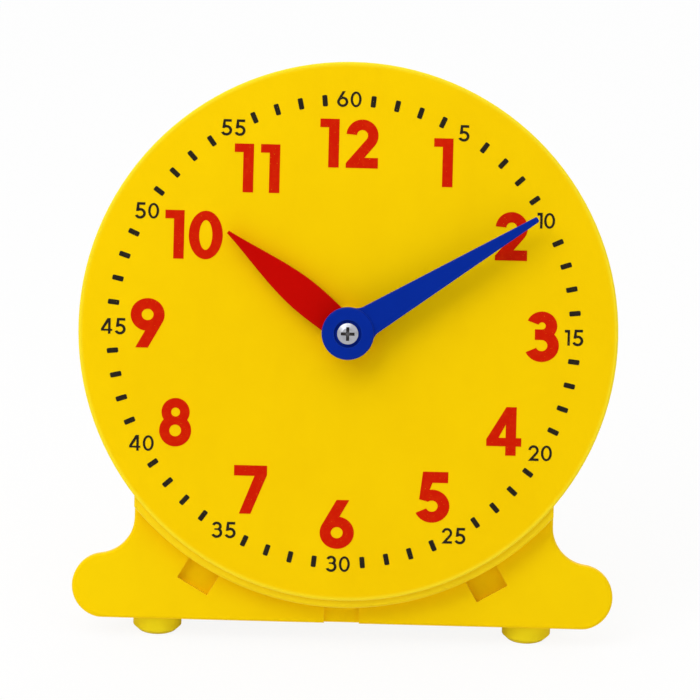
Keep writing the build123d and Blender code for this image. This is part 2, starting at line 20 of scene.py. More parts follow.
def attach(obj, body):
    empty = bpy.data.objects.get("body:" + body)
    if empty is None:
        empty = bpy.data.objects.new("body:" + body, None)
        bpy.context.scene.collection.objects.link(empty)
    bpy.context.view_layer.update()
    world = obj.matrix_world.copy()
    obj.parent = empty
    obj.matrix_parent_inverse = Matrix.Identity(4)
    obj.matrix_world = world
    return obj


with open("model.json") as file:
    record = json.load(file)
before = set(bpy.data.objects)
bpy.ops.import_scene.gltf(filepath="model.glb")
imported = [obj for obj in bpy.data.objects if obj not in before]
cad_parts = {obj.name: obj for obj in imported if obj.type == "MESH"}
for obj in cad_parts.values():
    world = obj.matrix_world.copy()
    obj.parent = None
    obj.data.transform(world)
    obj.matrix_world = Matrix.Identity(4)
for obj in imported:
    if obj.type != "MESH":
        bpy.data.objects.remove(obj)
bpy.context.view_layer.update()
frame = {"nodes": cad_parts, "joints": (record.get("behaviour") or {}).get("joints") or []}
LOG = logging.getLogger("teaching_clock")

Colour = tuple[float, float, float]
Place = tuple[float, float, float]
Point = tuple[float, float]
Span = tuple[float, float]
Loop = list[Point]
Amount = Union["Value", float]
Item = bpy.types.Object
Material = bpy.types.Material
Node = bpy.types.Node
Socket = bpy.types.NodeSocket

MM = 0.001
FULL_TURN = 360.0
HALF_TURN = 180.0
QUARTER_TURN = 90.0
ARC_STEP = 9.0
MINUTES = 60
NUMBER_STEP = 5
MINUTE_TURN = FULL_TURN / MINUTES
MERGE_DISTANCE = 1e-5
EVEN: Place = (1.0, 1.0, 1.0)
WHITE: Colour = (1.0, 1.0, 1.0)


def dial_joint() -> Mapping[str, Any]:
    """The joint that the minute hand turns on, in the middle of the dial's face."""
    return next(joint for joint in frame["joints"] if joint["name"] == "minute_turn")


def light(red: int, green: int, blue: int) -> Colour:
    """Turns an 8-bit screen colour into linear light.

    Args:
        red: Red, 0 to 255.
        green: Green, 0 to 255.
        blue: Blue, 0 to 255.

    Returns:
        The colour as three linear numbers.
    """
    full, knee, slope, offset, power = 255, 0.04045, 12.92, 0.055, 2.4
    shares = [channel / full for channel in (red, green, blue)]
    linear = [s / slope if s <= knee else ((s + offset) / (1 + offset)) ** power for s in shares]
    return (linear[0], linear[1], linear[2])


class Value:
    """A number that varies over a surface. Arithmetic on it adds Math nodes."""

    def __init__(self, graph: "Graph", socket: Socket) -> None:
        """Keeps the socket and the graph that it belongs to."""
        self.graph = graph
        self.socket = socket

    def __add__(self, other: Amount) -> "Value":
        """Adds a value or a number."""
        return self.graph.math("ADD", self, other)

    def __radd__(self, other: Amount) -> "Value":
        """Adds to a number."""
        return self.graph.math("ADD", other, self)

    def __sub__(self, other: Amount) -> "Value":
        """Takes away a value or a number."""
        return self.graph.math("SUBTRACT", self, other)

    def __rsub__(self, other: Amount) -> "Value":
        """Takes this away from a number."""
        return self.graph.math("SUBTRACT", other, self)

    def __mul__(self, other: Amount) -> "Value":
        """Multiplies by a value or a number."""
        return self.graph.math("MULTIPLY", self, other)

    def __rmul__(self, other: Amount) -> "Value":
        """Multiplies a number."""
        return self.graph.math("MULTIPLY", other, self)

    def between(self, low: float, high: float) -> "Value":
        """A smooth mask that rises from 0 to 1.

        Args:
            low: Where the mask starts to rise.
            high: Where the mask is full.

        Returns:
            The mask.
        """
        settings = {"interpolation_type": "SMOOTHSTEP"}
        sockets = {"Value": self, "From Min": low, "From Max": high}
        node = self.graph.node("ShaderNodeMapRange", settings, sockets)
        return Value(self.graph, node.outputs["Result"])


class Graph:
    """The node tree of one material or of the world. A Mix node's colours go by their numbers."""

    edge_samples = 6
    edge_rise: Span = (0.01, 0.3)
    crevice_samples = 8
    crevice_rise: Span = (0.06, 0.42)
    mix_inputs = (6, 7)
    mix_output = 2

    def __init__(self, owner: Union[Material, bpy.types.World]) -> None:
        """Empties the owner's node tree.

        Args:
            owner: The material or the world.
        """
        owner.use_nodes = True
        self.owner = owner
        self.tree = owner.node_tree
        self.tree.nodes.clear()

    def node(
        self,
        kind: str,
        settings: Mapping[str, Any] | None = None,
        sockets: Mapping[str | int, Any] | None = None,
    ) -> Node:
        """Adds one node.

        Args:
            kind: The node's type.
            settings: Its settings, which are set first.
            sockets: Values or links of its input sockets, by name or number.

        Returns:
            The node.
        """
        node = self.tree.nodes.new(kind)
        for name, setting in (settings or {}).items():
            setattr(node, name, setting)
        for name, content in (sockets or {}).items():
            if isinstance(content, Value):
                content = content.socket
            if isinstance(content, Socket):
                self.tree.links.new(content, node.inputs[name])
            elif isinstance(content, tuple) and node.inputs[name].type == "RGBA":
                node.inputs[name].default_value = (*content, 1.0)
            else:
                node.inputs[name].default_value = content
        return node

    def math(self, operation: str, first: Amount, second: Amount) -> Value:
        """Adds a Math node.

        Args:
            operation: The node's operation.
            first: Its first value.
            second: Its second value.

        Returns:
            The result.
        """
        node = self.node("ShaderNodeMath", {"operation": operation}, {0: first, 1: second})
        return Value(self, node.outputs[0])

    def vector_math(self, operation: str, *vectors: Any) -> Node:
        """Adds a Vector Math node.

        Args:
            operation: The node's operation.
            vectors: Its vectors.

        Returns:
            The node.
        """
        settings = {"operation": operation}
        return self.node("ShaderNodeVectorMath", settings, dict(enumerate(vectors)))

    def place(self) -> Socket:
        """Object coordinates."""
        return self.node("ShaderNodeTexCoord").outputs["Object"]

    def turned_place(self, scale: Place, turn: Place) -> Socket:
        """Object coordinates, stretched and turned.

        Args:
            scale: Scale along the three axes.
            turn: Turn about the three axes.

        Returns:
            The coordinates.
        """
        angles = tuple(math.radians(angle) for angle in turn)
        sockets = {"Vector": self.place(), "Rotation": angles, "Scale": scale}
        return self.node("ShaderNodeMapping", {"vector_type": "POINT"}, sockets).outputs[0]

    def noise(
        self, grain: float, detail: float, stretch: Place = EVEN, turn: float = 0.0
    ) -> Value:
        """A soft noise.

        Args:
            grain: The size of its blots.
            detail: How many finer layers it has.
            stretch: How much longer the blots are along each axis.
            turn: Turn about the upright axis.

        Returns:
            The noise, about 0.5 on average.
        """
        scale = (1 / stretch[0], 1 / stretch[1], 1 / stretch[2])
        place = self.turned_place(scale, (0.0, turn, turn))
        sockets = {"Vector": place, "Scale": 1 / grain, "Detail": detail}
        return Value(self, self.node("ShaderNodeTexNoise", None, sockets).outputs[0])

    def edges(self, radius: float) -> Value:
        """Where the surface has an edge, as a mask.

        Args:
            radius: How far the mask reaches from the edge.

        Returns:
            The mask.
        """
        settings = {"samples": self.edge_samples}
        round_normal = self.node("ShaderNodeBevel", settings, {"Radius": radius}).outputs[0]
        normal = self.node("ShaderNodeNewGeometry").outputs["Normal"]
        dot = self.vector_math("DOT_PRODUCT", round_normal, normal).outputs["Value"]
        return (1.0 - Value(self, dot)).between(*self.edge_rise)

    def crevices(self, reach: float) -> Value:
        """Where the surface is hemmed in, as a mask.

        Args:
            reach: How near the walls of a crevice are.

        Returns:
            The mask, 1 deep in a crevice.
        """
        settings = {"samples": self.crevice_samples, "only_local": True}
        node = self.node("ShaderNodeAmbientOcclusion", settings, {"Distance": reach})
        return (1.0 - Value(self, node.outputs["AO"])).between(*self.crevice_rise)

    def about_axis(self, middle: Place, axis: Place) -> tuple[Value, Value]:
        """How the surface lies about an axis.

        Args:
            middle: A point of the axis.
            axis: Its direction, of length one.

        Returns:
            How far off the axis the surface is, and how far along it from the middle.
        """
        apart = self.vector_math("SUBTRACT", self.place(), middle).outputs["Vector"]
        across = self.vector_math("CROSS_PRODUCT", apart, axis).outputs["Vector"]
        off = self.vector_math("LENGTH", across).outputs["Value"]
        along = self.vector_math("DOT_PRODUCT", apart, axis).outputs["Value"]
        return (Value(self, off), Value(self, along))

    def mix(self, share: Amount, first: Any, second: Any) -> Socket:
        """Mixes two colours.

        Args:
            share: How much of the second there is.
            first: The first colour.
            second: The second colour.

        Returns:
            The mixed colour.
        """
        sockets = {0: share, **dict(zip(self.mix_inputs, (first, second)))}
        node = self.node("ShaderNodeMix", {"data_type": "RGBA"}, sockets)
        return node.outputs[self.mix_output]

    def surface(self, sockets: Mapping[str, Any], height: Value, depth: float) -> Material:
        """Ends the material with a bumped shader.

        Args:
            sockets: Values or links of the shader's sockets.
            height: The height of the surface, about 0 to 1.
            depth: How deep a height of 1 is.

        Returns:
            The finished material.
        """
        relief = {"Distance": depth, "Height": height}
        normal = self.node("ShaderNodeBump", None, relief).outputs[0]
        shader = self.node("ShaderNodeBsdfPrincipled", None, {**sockets, "Normal": normal})
        self.node("ShaderNodeOutputMaterial", None, {"Surface": shader.outputs[0]})
        return self.owner


@dataclass(frozen=True)
class Blots:
    """Soft blots on a surface, as a mask."""

    size: float
    layers: float
    rise: Span
    stretch: Place = EVEN

    def on(self, graph: Graph, turn: float = 0.0) -> Value:
        """The mask on a surface, turned about the upright axis."""
        return graph.noise(self.size, self.layers, self.stretch, turn).between(*self.rise)


@dataclass(frozen=True)
class Scratches:
    """Thin straight handling marks in two directions, on some spots only, as a mask."""

    marks: Blots = Blots(0.22 * MM, 0.0, (0.77, 0.84), stretch=(110.0, 1.0, 1.0))
    spots: Blots = Blots(11 * MM, 1.0, (0.5, 0.68))
    turns: Span = (24.0, -51.0)

    def on(self, graph: Graph) -> Value:
        """The mask on a surface."""
        first, second = (self.marks.on(graph, turn) * self.spots.on(graph) for turn in self.turns)
        return first + second


@dataclass(frozen=True)
class Finish(ABC):
    """A named finish, which is one material for all the pieces that have it."""

    name: str

    def material(self) -> Material:
        """The finish's material, made when it is first asked for."""
        made = bpy.data.materials.get(self.name)
        return made or self.make(Graph(bpy.data.materials.new(self.name)))

    @abstractmethod
    def make(self, graph: Graph) -> Material:
        """Fills an empty material.

        Args:
            graph: The material's node tree.

        Returns:
            The material.
        """


@dataclass(frozen=True)
class MouldedPlastic(Finish):
    """Satin moulded plastic: faint flow clouds, fine mould grain, painted edge highlights and
    handling marks.
    """

    colour: Colour
    cloud: Colour
    # The edge colour is the painted highlight on edges, and also the colour of the scratches' wear.
    edge: Colour
    tint: Colour = WHITE
    roughness: float = 0.45
    shine: float = 0.15
    grain: float = 0.5 * MM
    grain_layers: float = 3.0
    depth: float = 0.006 * MM
    wear: float = 1.0
    clouds: Blots = Blots(17 * MM, 3.0, (0.35, 0.75))
    flow: Blots = Blots(6 * MM, 2.0, (0.45, 0.8), stretch=(1.0, 1.0, 5.0))
    smudges: Blots = Blots(9 * MM, 2.0, (0.4, 0.75))
    scratches: Scratches = Scratches()
    edge_reach: float = 0.35 * MM
    cloud_share: float = 0.5
    flow_share: float = 0.25
    edge_share: float = 0.45
    mark_share: float = 0.12
    grain_rough: float = 0.14
    smudge_gloss: float = 0.07
    edge_gloss: float = 0.06
    mark_rough: float = 0.1
    mark_depth: float = 0.5

    def make(self, graph: Graph) -> Material:
        """Fills an empty material.

        Args:
            graph: The material's node tree.

        Returns:
            The material.
        """
        clouds, flow = self.clouds.on(graph), self.flow.on(graph)
        # Painted highlight: near edges the colour is mixed towards the paler edge colour.
        edge = graph.edges(self.edge_reach)
        grain = graph.noise(self.grain, self.grain_layers)
        marks = self.scratches.on(graph) * self.wear
        shade = clouds * self.cloud_share + flow * self.flow_share
        colour = graph.mix(shade, self.colour, self.cloud)
        # Mix of the painted edge highlight and the real scratch wear, both towards the edge colour.
        pale = edge * self.edge_share + marks * self.mark_share
        colour = self.trim(graph, graph.mix(pale, colour, self.edge))
        smudges = self.smudges.on(graph)
        roughness = (
            self.roughness + grain * self.grain_rough - smudges * self.smudge_gloss
            - edge * self.edge_gloss + marks * self.mark_rough
        )
        sockets = {
            "Base Color": colour, "Roughness": roughness,
            "Specular IOR Level": self.shine, "Specular Tint": self.tint,
        }
        return graph.surface(sockets, grain - marks * self.mark_depth, self.depth)

    def trim(self, graph: Graph, colour: Socket) -> Socket:
        """The colour as it is, for a finish with no trim of its own."""
        return colour


@dataclass(frozen=True)
class LippedPlastic(MouldedPlastic):
    """Moulded plastic whose round lip at the dial's edge gets a painted highlight, a pale line."""

    # The lip colour is the pale colour of the painted highlight on the lip.
    lip: Colour = WHITE
    lip_share: float = 0.62
    lip_start: Span = (49.0 * MM, 49.8 * MM)
    lip_depth: Span = (1.2 * MM, 2.0 * MM)

    def trim(self, graph: Graph, colour: Socket) -> Socket:
        """Paints a highlight on the lip, a paler band round the dial's axis.

        Args:
            graph: The material's node tree.
            colour: The plastic's colour.

        Returns:
            The colour with the lip.
        """
        joint = dial_joint()
        off, along = graph.about_axis(tuple(joint["pos_m"]), tuple(joint["axis"]))
        # Painted highlight: a band round the dial's axis near its edge, mixed towards the pale lip
        # colour.
        lip = off.between(*self.lip_start) * (1.0 - along.between(*self.lip_depth))
        return graph.mix(lip * self.lip_share, colour, self.lip)


@dataclass(frozen=True)
class TurnedMetal(Finish):
    """Plated or turned metal: tool marks, cloudy tarnish, bright edges and painted shade in
    recesses.
    """

    colour: Colour
    tarnish: Colour
    # The next colour is the dark brownish colour painted into recesses as shade.
    grime: Colour
    roughness: float
    tool_size: float = 0.12 * MM
    tool_layers: float = 1.0
    tool_stretch: Place = (14.0, 1.0, 1.0)
    tool_turn: float = 31.0
    dull: Blots = Blots(1.6 * MM, 4.0, (0.4, 0.72))
    edge_reach: float = 0.12 * MM
    grime_reach: float = 1.3 * MM
    dull_share: float = 0.5
    edge_share: float = 0.3
    grime_share: float = 0.9
    tool_rough: float = 0.12
    dull_rough: float = 0.16
    edge_gloss: float = 0.05
    grime_rough: float = 0.3
    depth: float = 0.004 * MM

    def make(self, graph: Graph) -> Material:
        """Fills an empty material.

        Args:
            graph: The material's node tree.

        Returns:
            The material.
        """
        tool_marks = graph.noise(
            self.tool_size, self.tool_layers, self.tool_stretch, self.tool_turn
        )
        dull = self.dull.on(graph)
        edge = graph.edges(self.edge_reach)
        # Painted shade: recesses, found by ambient occlusion, are darkened towards a brownish
        # colour.
        grime = graph.crevices(self.grime_reach)
        dark = dull * self.dull_share - edge * self.edge_share
        colour = graph.mix(dark, self.colour, self.tarnish)
        colour = graph.mix(grime * self.grime_share, colour, self.grime)
        roughness = (
            self.roughness + tool_marks * self.tool_rough + dull * self.dull_rough
            - edge * self.edge_gloss + grime * self.grime_rough
        )
        sockets = {"Base Color": colour, "Roughness": roughness, "Metallic": 1.0}
        return graph.surface(sockets, tool_marks, self.depth)


@dataclass(frozen=True)
class PrintedInk(Finish):
    """Pad-printed ink: uneven cover, a few pinholes that show the plastic, and a soft gloss."""

    colour: Colour
    thin: Colour
    below: Colour
    tint: Colour
    roughness: float = 0.34
    shine: float = 0.15
    depth: float = 0.01 * MM
    cover_size: float = 1.1 * MM
    cover_layers: float = 3.0
    cover_rise: Span = (0.42, 0.8)
    pinholes: Blots = Blots(0.16 * MM, 1.0, (0.74, 0.8))
    thin_share: float = 0.6
    pinhole_share: float = 0.7
    cover_rough: float = 0.2

    def make(self, graph: Graph) -> Material:
        """Fills an empty material.

        Args:
            graph: The material's node tree.

        Returns:
            The material.
        """
        cover = graph.noise(self.cover_size, self.cover_layers)
        pinholes = self.pinholes.on(graph)
        thin = cover.between(*self.cover_rise) * self.thin_share
        colour = graph.mix(thin, self.colour, self.thin)
        colour = graph.mix(pinholes * self.pinhole_share, colour, self.below)
        sockets = {
            "Base Color": colour, "Roughness": self.roughness + cover * self.cover_rough,
            "Specular IOR Level": self.shine, "Specular Tint": self.tint,
        }
        return graph.surface(sockets, cover - pinholes, self.depth)


YELLOW = light(252, 209, 2)
YELLOW_CLOUD = light(247, 202, 2)
# Paler yellow for the painted edge highlight and for the scratches' wear.
YELLOW_HIGHLIGHT_AND_WEAR = light(255, 222, 40)
YELLOW_SHEEN = (1.0, 0.72, 0.1)
# Pale yellow of the painted highlight on the dial's lip and on the stand's ledge.
LIP_HIGHLIGHT = light(255, 236, 54)
YELLOW_PLASTIC = MouldedPlastic(
    name="yellow_moulded_plastic",
    colour=YELLOW,
    cloud=YELLOW_CLOUD,
    edge=YELLOW_HIGHLIGHT_AND_WEAR,
    tint=YELLOW_SHEEN,
)
DIAL_PLASTIC = LippedPlastic(
    name="yellow_dial_plastic",
    colour=YELLOW,
    cloud=YELLOW_CLOUD,
    edge=YELLOW_HIGHLIGHT_AND_WEAR,
    tint=YELLOW_SHEEN,
    lip=LIP_HIGHLIGHT,
)
# The stand's yellow is a touch paler than the dial's: painted light that lifts the stand where the
# dial shades it.
STAND_PLASTIC = LippedPlastic(
    name="yellow_stand_plastic",
    colour=light(253, 213, 4),
    cloud=light(248, 207, 4),
    edge=light(255, 224, 44),
    tint=YELLOW_SHEEN,
    lip=LIP_HIGHLIGHT,
    # A weaker painted highlight on the stand's ledge.
    lip_share=0.25,
)
# The feet's soft plastic is a paler yellow, partly its own tone and partly painted light that lifts
# them out of the shade under the stand.
FOOT_PLASTIC = MouldedPlastic(
    name="soft_foot_plastic",
    colour=light(249, 226, 28),
    cloud=light(243, 218, 24),
    edge=light(252, 234, 70),
    tint=YELLOW_SHEEN,
    roughness=0.6,
    shine=0.1,
    grain=0.3 * MM,
    depth=0.012 * MM,
    wear=0.4,
)
BLUE_PLASTIC = MouldedPlastic(
    name="blue_moulded_plastic",
    colour=light(4, 41, 152),
    cloud=light(3, 36, 142),
    edge=light(34, 74, 186),
    tint=(0.15, 0.3, 1.0),
    roughness=0.42,
    shine=0.2,
    grain=0.35 * MM,
)
RED_PLASTIC = MouldedPlastic(
    name="red_moulded_plastic",
    colour=light(197, 5, 2),
    cloud=light(186, 4, 2),
    edge=light(218, 34, 22),
    tint=(1.0, 0.12, 0.06),
    roughness=0.42,
    shine=0.2,
    grain=0.35 * MM,
)
GEAR_PLASTIC = MouldedPlastic(
    name="white_gear_plastic",
    colour=light(236, 234, 226),
    cloud=light(226, 222, 210),
    edge=light(246, 245, 240),
    roughness=0.5,
    shine=0.3,
    grain=0.25 * MM,
    wear=0.3,
)
SCREW_STEEL = TurnedMetal(
    name="plated_screw_steel",
    colour=light(178, 179, 185),
    tarnish=light(122, 121, 121),
    # Dark brownish colour painted into the screws' recesses as shade.
    grime=light(52, 44, 36),
    roughness=0.26,
)
ARBOR_BRASS = TurnedMetal(
    name="turned_arbor_brass",
    colour=light(226, 188, 108),
    tarnish=light(168, 124, 58),
    # Dark brownish colour painted into the brass's recesses as shade.
    grime=light(60, 44, 24),
    roughness=0.24,
)
RED_INK = PrintedInk(
    name="red_dial_ink",
    colour=light(208, 25, 4),
    thin=light(217, 43, 5),
    below=YELLOW,
    tint=(1.0, 0.25, 0.08),
)
BLACK_INK = PrintedInk(
    name="black_dial_ink",
    colour=light(24, 20, 14),
    thin=light(46, 38, 20),
    below=YELLOW,
    tint=(1.0, 0.9, 0.7),
)


@contextmanager
def edit_mode() -> Iterator[None]:
    """Works on the active object's mesh in edit mode.

    Returns:
        A context for the with block that edits the mesh.
    """
    bpy.ops.object.mode_set(mode="EDIT")
    yield
    bpy.ops.object.mode_set(mode="OBJECT")


def only(*objects: Item) -> None:
    """Selects these objects and no other, the first as the active one.

    Args:
        objects: What to select.
    """
    bpy.ops.object.select_all(action="DESELECT")
    for item in objects:
        item.select_set(True)
    bpy.context.view_layer.objects.active = objects[0]


def pick_edges(mesh: bpy.types.Mesh, wanted: Callable[[list[Vector]], bool]) -> None:
    """Selects some of a mesh's edges and nothing else, out of edit mode.

    Args:
        mesh: The mesh.
        wanted: Says by an edge's two ends whether it is picked.
    """
    for group in (mesh.polygons, mesh.edges, mesh.vertices):
        group.foreach_set("select", [False] * len(group))
    for edge in mesh.edges:
        edge.select = wanted([mesh.vertices[i].co for i in edge.vertices])


def close_mesh(item: Item) -> None:
    """Closes a mesh's seams and turns its faces outwards.

    Args:
        item: The mesh object.
    """
    only(item)
    with edit_mode():
        bpy.ops.mesh.select_all(action="SELECT")
        bpy.ops.mesh.remove_doubles(threshold=MERGE_DISTANCE)
        bpy.ops.mesh.normals_make_consistent(inside=False)


def copy_to(item: Item, place: Matrix) -> Item:
    """Copies a mesh object, with its own mesh, to a place.

    Args:
        item: What to copy.
        place: Where the copy goes.

    Returns:
        The copy.
    """
    copy = item.copy()
    copy.data = item.data.copy()
    bpy.context.scene.collection.objects.link(copy)
    copy.matrix_world = place
    return copy


def join(copies: Sequence[Item], name: str) -> Item:
    """Joins meshes into one piece whose place is in its mesh.

    Args:
        copies: The meshes.
        name: The piece's name.

    Returns:
        The piece.
    """
    only(*copies)
    bpy.ops.object.transform_apply(location=True, rotation=True, scale=True)
    bpy.ops.object.join()
    piece = bpy.context.view_layer.objects.active
    piece.name = name
    piece.data.name = name
    return piece


def paint(items: Iterable[Item], finish: Finish) -> None:
    """Gives objects a finish through their material slots.

    Args:
        items: The objects.
        finish: Their finish.
    """
    material = finish.material()
    for item in items:
        if not item.material_slots:
            item.data.materials.append(material)
        for slot in item.material_slots:
            slot.material = material


def dress(name: str, finish: Finish) -> Item:
    """Gives one solid of the frame its finish.

    Args:
        name: The solid's name.
        finish: Its finish.

    Returns:
        The solid.
    """
    solid = frame["nodes"][name]
    paint([solid], finish)
    return solid


def arc(centre: Point, radius: float, start: float, end: float, rise: float = 1.0) -> Loop:
    """Points along an arc.

    Args:
        centre: The arc's centre.
        radius: Its radius across.
        start: The angle where it starts.
        end: The angle where it ends, lower than start for a clockwise arc.
        rise: How much taller than wide the arc is.

    Returns:
        The points, both ends included.
    """
    steps = max(2, math.ceil(abs(end - start) / ARC_STEP))
    angles = [math.radians(start + (end - start) * i / steps) for i in range(steps + 1)]
    x, y = centre
    return [(x + radius * math.cos(a), y + radius * rise * math.sin(a)) for a in angles]


def ring(centre: Point, radius: float, rise: float = 1.0) -> Loop:
    """Points all round a circle or an upright oval."""
    return arc(centre, radius, 0.0, FULL_TURN - ARC_STEP, rise)


def crossing(apart: float, lower: float, upper: float) -> Span:
    """Where two rings, one straight above the other, cross on their right.

    Args:
        apart: How far apart their middles are.
        lower: The lower ring's radius.
        upper: The upper ring's radius.

    Returns:
        The angle of the crossing on the lower ring, and on the upper one.
    """
    level = (apart**2 + lower**2 - upper**2) / (2 * apart)
    across = math.sqrt(lower**2 - level**2)
    below, above = (math.atan2(height, across) for height in (level, level - apart))
    return (math.degrees(below), math.degrees(above))


class Weight(Enum):
    """Stroke width of the dial's figures, as a share of their height."""

    BOLD = 0.215
    LIGHT = 0.155


@dataclass(frozen=True)
class Figures:
    """Outlines of plain figures, one unit tall. A first loop is outside, others are holes."""

    weight: Weight
    level_share: float = 0.9
    slope_share: float = 1.1
    bowl_end: float = -155.0
    stretch: Mapping[str, Point] = field(
        default_factory=lambda: {
            "3": (1.1, 1.04), "5": (1.12, 1.05), "6": (1.07, 1.01), "9": (1.06, 1.02),
        }
    )

    @property
    def stroke(self) -> float:
        """The stroke's width."""
        return self.weight.value

    @property
    def level_stroke(self) -> float:
        """The width of a level stroke, which is a little thinner."""
        return self.level_share * self.stroke

    @property
    def slope_stroke(self) -> float:
        """The width of a sloping stroke, measured level."""
        return self.slope_share * self.stroke

    def loops(self, figure: str) -> list[Loop]:
        """The loops of one figure.

        Args:
            figure: A digit.

        Returns:
            Its closed loops.
        """
        makers = {
            "0": self.zero, "1": self.one, "2": self.two, "3": self.three, "4": self.four,
            "5": self.five, "6": self.six, "7": self.seven, "8": self.eight, "9": self.nine,
        }
        wide, tall = self.stretch.get(figure, (1.0, 1.0))
        middle = 0.5
        outlines = makers[figure]()
        return [[(x * wide, middle + (y - middle) * tall) for x, y in loop] for loop in outlines]

    def zero(self) -> list[Loop]:
        """An upright oval.

        Returns:
            Its closed loops.
        """
        middle, wide, tall = (0.35, 0.5), 0.35, 0.5
        inner_wide, inner_tall = wide - self.stroke, tall - self.level_stroke
        return [ring(middle, wide, tall / wide), ring(middle, inner_wide, inner_tall / inner_wide)]

    def one(self) -> list[Loop]:
        """A stem with a flag.

        Returns:
            Its closed loop.
        """
        flag, under = 0.18, 0.825
        right = flag + self.stroke
        return [[(0, 1), (right, 1), (right, 0), (flag, 0), (flag, under), (0, under)]]

    def two(self) -> list[Loop]:
        """A bowl, a slope and a foot.

        Returns:
            Its closed loop.
        """
        middle, radius, start, turn, width = (0.33, 0.67), 0.33, 175.0, -40.0, 0.66
        back, down = math.sin(math.radians(turn)), math.cos(math.radians(turn))
        outer = arc(middle, radius, start, turn)
        inner = arc(middle, radius - self.stroke, turn, start)
        knee = outer[-1][0] + back * (outer[-1][1] - self.stroke) / down
        heel = inner[0][1] + down * inner[0][0] / back
        foot = [(knee, self.stroke), (width, self.stroke), (width, 0), (0, 0)]
        return [outer + foot + ([(0, heel)] if heel > 0 else []) + inner]

    def three(self) -> list[Loop]:
        """Two open bowls that meet in a short bar.

        Returns:
            Its closed loop.
        """
        upper, lower, small, large = (0.30, 0.715), (0.30, 0.325), 0.285, 0.325
        start, bar = 160.0, 0.17
        below, above = crossing(upper[1] - lower[1], large, small)
        outer = arc(upper, small, start, above) + arc(lower, large, below, self.bowl_end)
        top = lower[1] + large - self.stroke
        under = upper[1] - small + self.stroke
        inner = arc(lower, large - self.stroke, self.bowl_end, QUARTER_TURN)
        inner += [(bar, top), (bar, under)]
        return [outer + inner + arc(upper, small - self.stroke, -QUARTER_TURN, start)]

    def four(self) -> list[Loop]:
        """A slope, a bar and a stem, with a three-cornered hole.

        Returns:
            Its closed loops.
        """
        left, right, width, low, knee = 0.40, 0.61, 0.72, 0.19, 0.33
        stem, bar, spare = right - self.stroke, 0.17 + self.level_stroke, 0.19 - self.stroke
        outer = [
            (left, 1), (right, 1), (right, bar), (width, bar), (width, low), (right, low),
            (right, 0), (stem, 0), (stem, low), (0, low), (0, knee),
        ]
        hole_top, hole_left = 0.68 + 1.6 * spare, 0.22 - 1.2 * spare
        return [outer, [(stem, bar), (stem, hole_top), (hole_left, bar)]]

    def five(self) -> list[Loop]:
        """A top bar, a short stem and an open bowl.

        Returns:
            Its closed loop.
        """
        middle, radius, start, inner_start = (0.31, 0.325), 0.325, 98.0, 130.0
        width, below = 0.60, 1 - self.stroke
        stem = [(0.075, 0.455), (0.135, 1)]
        bar = [(width, 1), (width, below), (0.10 + self.stroke, below)]
        bowl = arc(middle, radius, start, self.bowl_end)
        return [stem + bar + bowl + arc(middle, radius - self.stroke, self.bowl_end, inner_start)]

    def six(self) -> list[Loop]:
        """A ring with a sloping straight stem.

        Returns:
            Its closed loops.
        """
        middle, radius, slope = (0.33, 0.33), 0.33, math.radians(62)
        run, rise = math.cos(slope), math.sin(slope)
        tangent = math.degrees(slope) + QUARTER_TURN
        left = (middle[0] - radius * rise, middle[1] + radius * run)
        tip = (left[0] + run * (1 - left[1]) / rise, 1.0)
        corner = (tip[0] + self.stroke / rise, 1.0)
        away = (corner[0] - middle[0], corner[1] - middle[1])
        along = away[0] * run + away[1] * rise
        gap = along - math.sqrt(along**2 - (away[0] ** 2 + away[1] ** 2 - radius**2))
        meet = (away[0] - gap * run, away[1] - gap * rise)
        end = math.degrees(math.atan2(meet[1], meet[0]))
        outer = [tip, corner] + arc(middle, radius, end, tangent - FULL_TURN)
        return [outer, ring(middle, radius - self.stroke)]

    def seven(self) -> list[Loop]:
        """A top bar and a slope.

        Returns:
            Its closed loop.
        """
        width, foot, under = 0.68, 0.12, 1 - self.stroke
        inner = 0.66 - self.slope_stroke
        slope = [(width, 1 - self.level_stroke), (foot + self.slope_stroke, 0), (foot, 0)]
        return [[(0, 1), (width, 1)] + slope + [(inner, under), (0, under)]]

    def eight(self) -> list[Loop]:
        """Two rings, the smaller one above.

        Returns:
            Its closed loops.
        """
        upper, lower, small, large = (0.33, 0.71), (0.33, 0.33), 0.29, 0.33
        small_share, large_share = 0.92, 0.97
        below, above = crossing(upper[1] - lower[1], large, small)
        outer = arc(upper, small, above, HALF_TURN - above)
        outer += arc(lower, large, HALF_TURN - below, FULL_TURN + below)
        upper_hole = ring(upper, small - small_share * self.stroke)
        return [outer, upper_hole, ring(lower, large - large_share * self.stroke)]

    def nine(self) -> list[Loop]:
        """A six turned half round."""
        width = 0.66
        return [[(width - x, 1 - y) for x, y in loop] for loop in self.six()]

    def model(self, figure: str) -> Item:
        """Models one figure as a flat curve with a thickness of one, and makes it a mesh.

        Args:
            figure: A digit.

        Returns:
            The mesh, with its left foot at the origin.
        """
        bpy.ops.object.select_all(action="DESELECT")
        bpy.ops.object.add(type="CURVE")
        curve = bpy.context.view_layer.objects.active.data
        curve.dimensions = "2D"
        curve.fill_mode = "BOTH"
        curve.extrude = 0.5
        for loop in self.loops(figure):
            spline = curve.splines.new("POLY")
            spline.points.add(len(loop) - 1)
            for point, (x, y) in zip(spline.points, loop):
                point.co = (x, y, 0.0, 1.0)
            spline.use_cyclic_u = True
        bpy.ops.object.convert(target="MESH")
        item = bpy.context.view_layer.objects.active
        close_mesh(item)
        return item


class SubAssembly(ABC):
    """A group of pieces that is built and dressed together."""

    @abstractmethod
    def build(self) -> list[Item]:
        """Builds and dresses the pieces.

        Returns:
            The pieces.
        """


